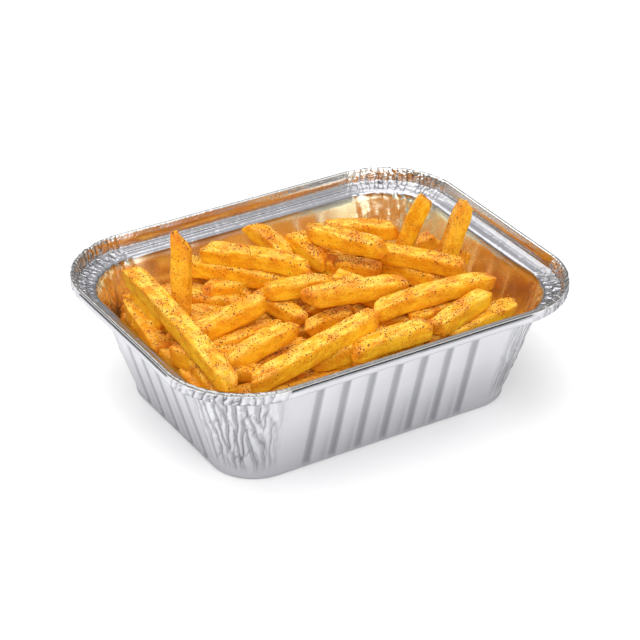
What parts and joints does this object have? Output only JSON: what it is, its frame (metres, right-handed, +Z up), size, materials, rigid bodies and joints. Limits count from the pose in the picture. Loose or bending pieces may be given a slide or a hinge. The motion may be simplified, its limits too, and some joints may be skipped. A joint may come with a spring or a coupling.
{
  "type": "foil tray meal",
  "caption": "Crimped aluminium takeaway tray with fluted walls and a rolled rim, heaped above the rim with seasoned French fries.",
  "frame": {"origin": "middle of the tray's underside, on the surface the tray stands on", "axes": "+Z up, X along the tray's long side, Y along its short side"},
  "size_m": [0.147, 0.117, 0.0646],
  "materials": {
    "foil": "bright pressed foil with crumpled corners",
    "fries": "dry fried potato dusted with spice"
  },
  "bodies": {
    "root": {"foil_tray": "foil", "fries": "fries"}
  },
  "joints": []
}
